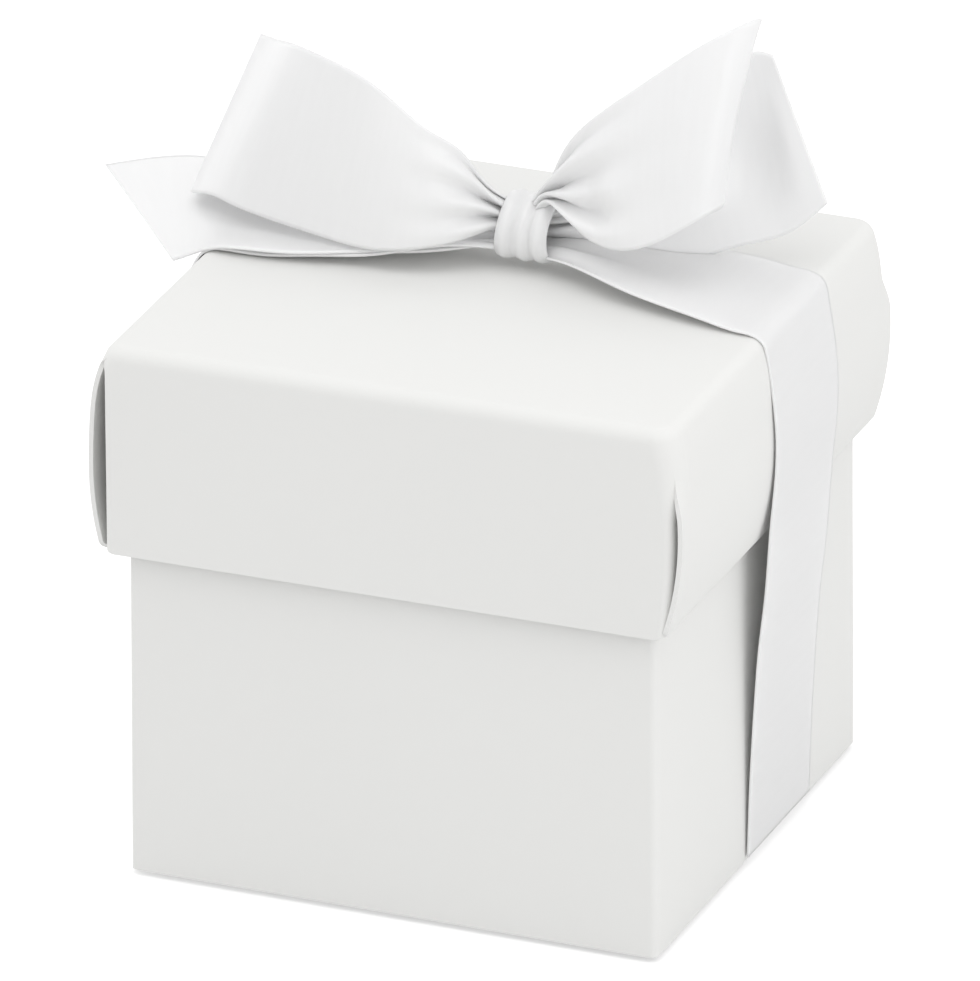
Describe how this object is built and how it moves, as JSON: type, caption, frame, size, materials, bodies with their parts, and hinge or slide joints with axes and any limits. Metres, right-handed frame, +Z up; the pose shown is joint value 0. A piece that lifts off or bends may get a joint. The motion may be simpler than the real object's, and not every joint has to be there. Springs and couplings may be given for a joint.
{
  "type": "favor box",
  "caption": "Small square card favor box: a folded base with a tucked bottom, a lift-off lid with rolled side walls, and a satin ribbon wrapped round it and tied in a bow on top.",
  "frame": {"origin": "middle of the square base, on the surface that the box stands on, which is the underside of the ribbon's lower band", "axes": "+Z up, +X along the ribbon towards the right-hand side of the pictured front, -Y out of the pictured front"},
  "size_m": [0.074, 0.0546, 0.0796],
  "materials": {
    "card": "smooth uncoated card with a faint satin sheen",
    "ribbon": "satin weave, glossy along the ribbon"
  },
  "bodies": {
    "base": {"base_front_wall": "card", "base_right_wall": "card", "base_rear_wall": "card", "base_left_wall": "card", "base_glue_flap": "card", "bottom_panel": "card", "bottom_tongue": "card", "dust_flap_left": "card", "dust_flap_right": "card"},
    "lid": {"lid_top": "card", "lid_front_flap": "card", "lid_rear_flap": "card", "lid_tab_front_left": "card", "lid_tab_front_right": "card", "lid_tab_rear_left": "card", "lid_tab_rear_right": "card", "lid_left_outer_wall": "card", "lid_right_outer_wall": "card", "lid_left_inner_wall": "card", "lid_right_inner_wall": "card"},
    "ribbon": {"ribbon_left_top": "ribbon", "ribbon_right_top": "ribbon", "ribbon_left_side": "ribbon", "ribbon_right_side": "ribbon", "bow_knot": "ribbon", "bow_left_loop_front": "ribbon", "bow_left_loop_back": "ribbon", "bow_right_loop_front": "ribbon", "bow_right_loop_back": "ribbon", "bow_left_tail": "ribbon", "bow_right_tail": "ribbon"},
    "ribbon_under": {"ribbon_under": "ribbon"}
  },
  "joints": [
    {"name": "lid_lift", "type": "slide", "parent": "base", "child": "lid", "axis": [0, 0, 1], "range_m": [0, 0.06]},
    {"name": "ribbon_slide", "type": "slide", "parent": "lid", "child": "ribbon", "axis": [0, 1, 0], "range_m": [-0.045, 0.045]},
    {"name": "under_slide", "type": "slide", "parent": "base", "child": "ribbon_under", "axis": [0, 1, 0], "range_m": [-0.045, 0.045]}
  ],
  "couplings": [
    {"joint": "under_slide", "follows": "ribbon_slide", "ratio": 1}
  ]
}
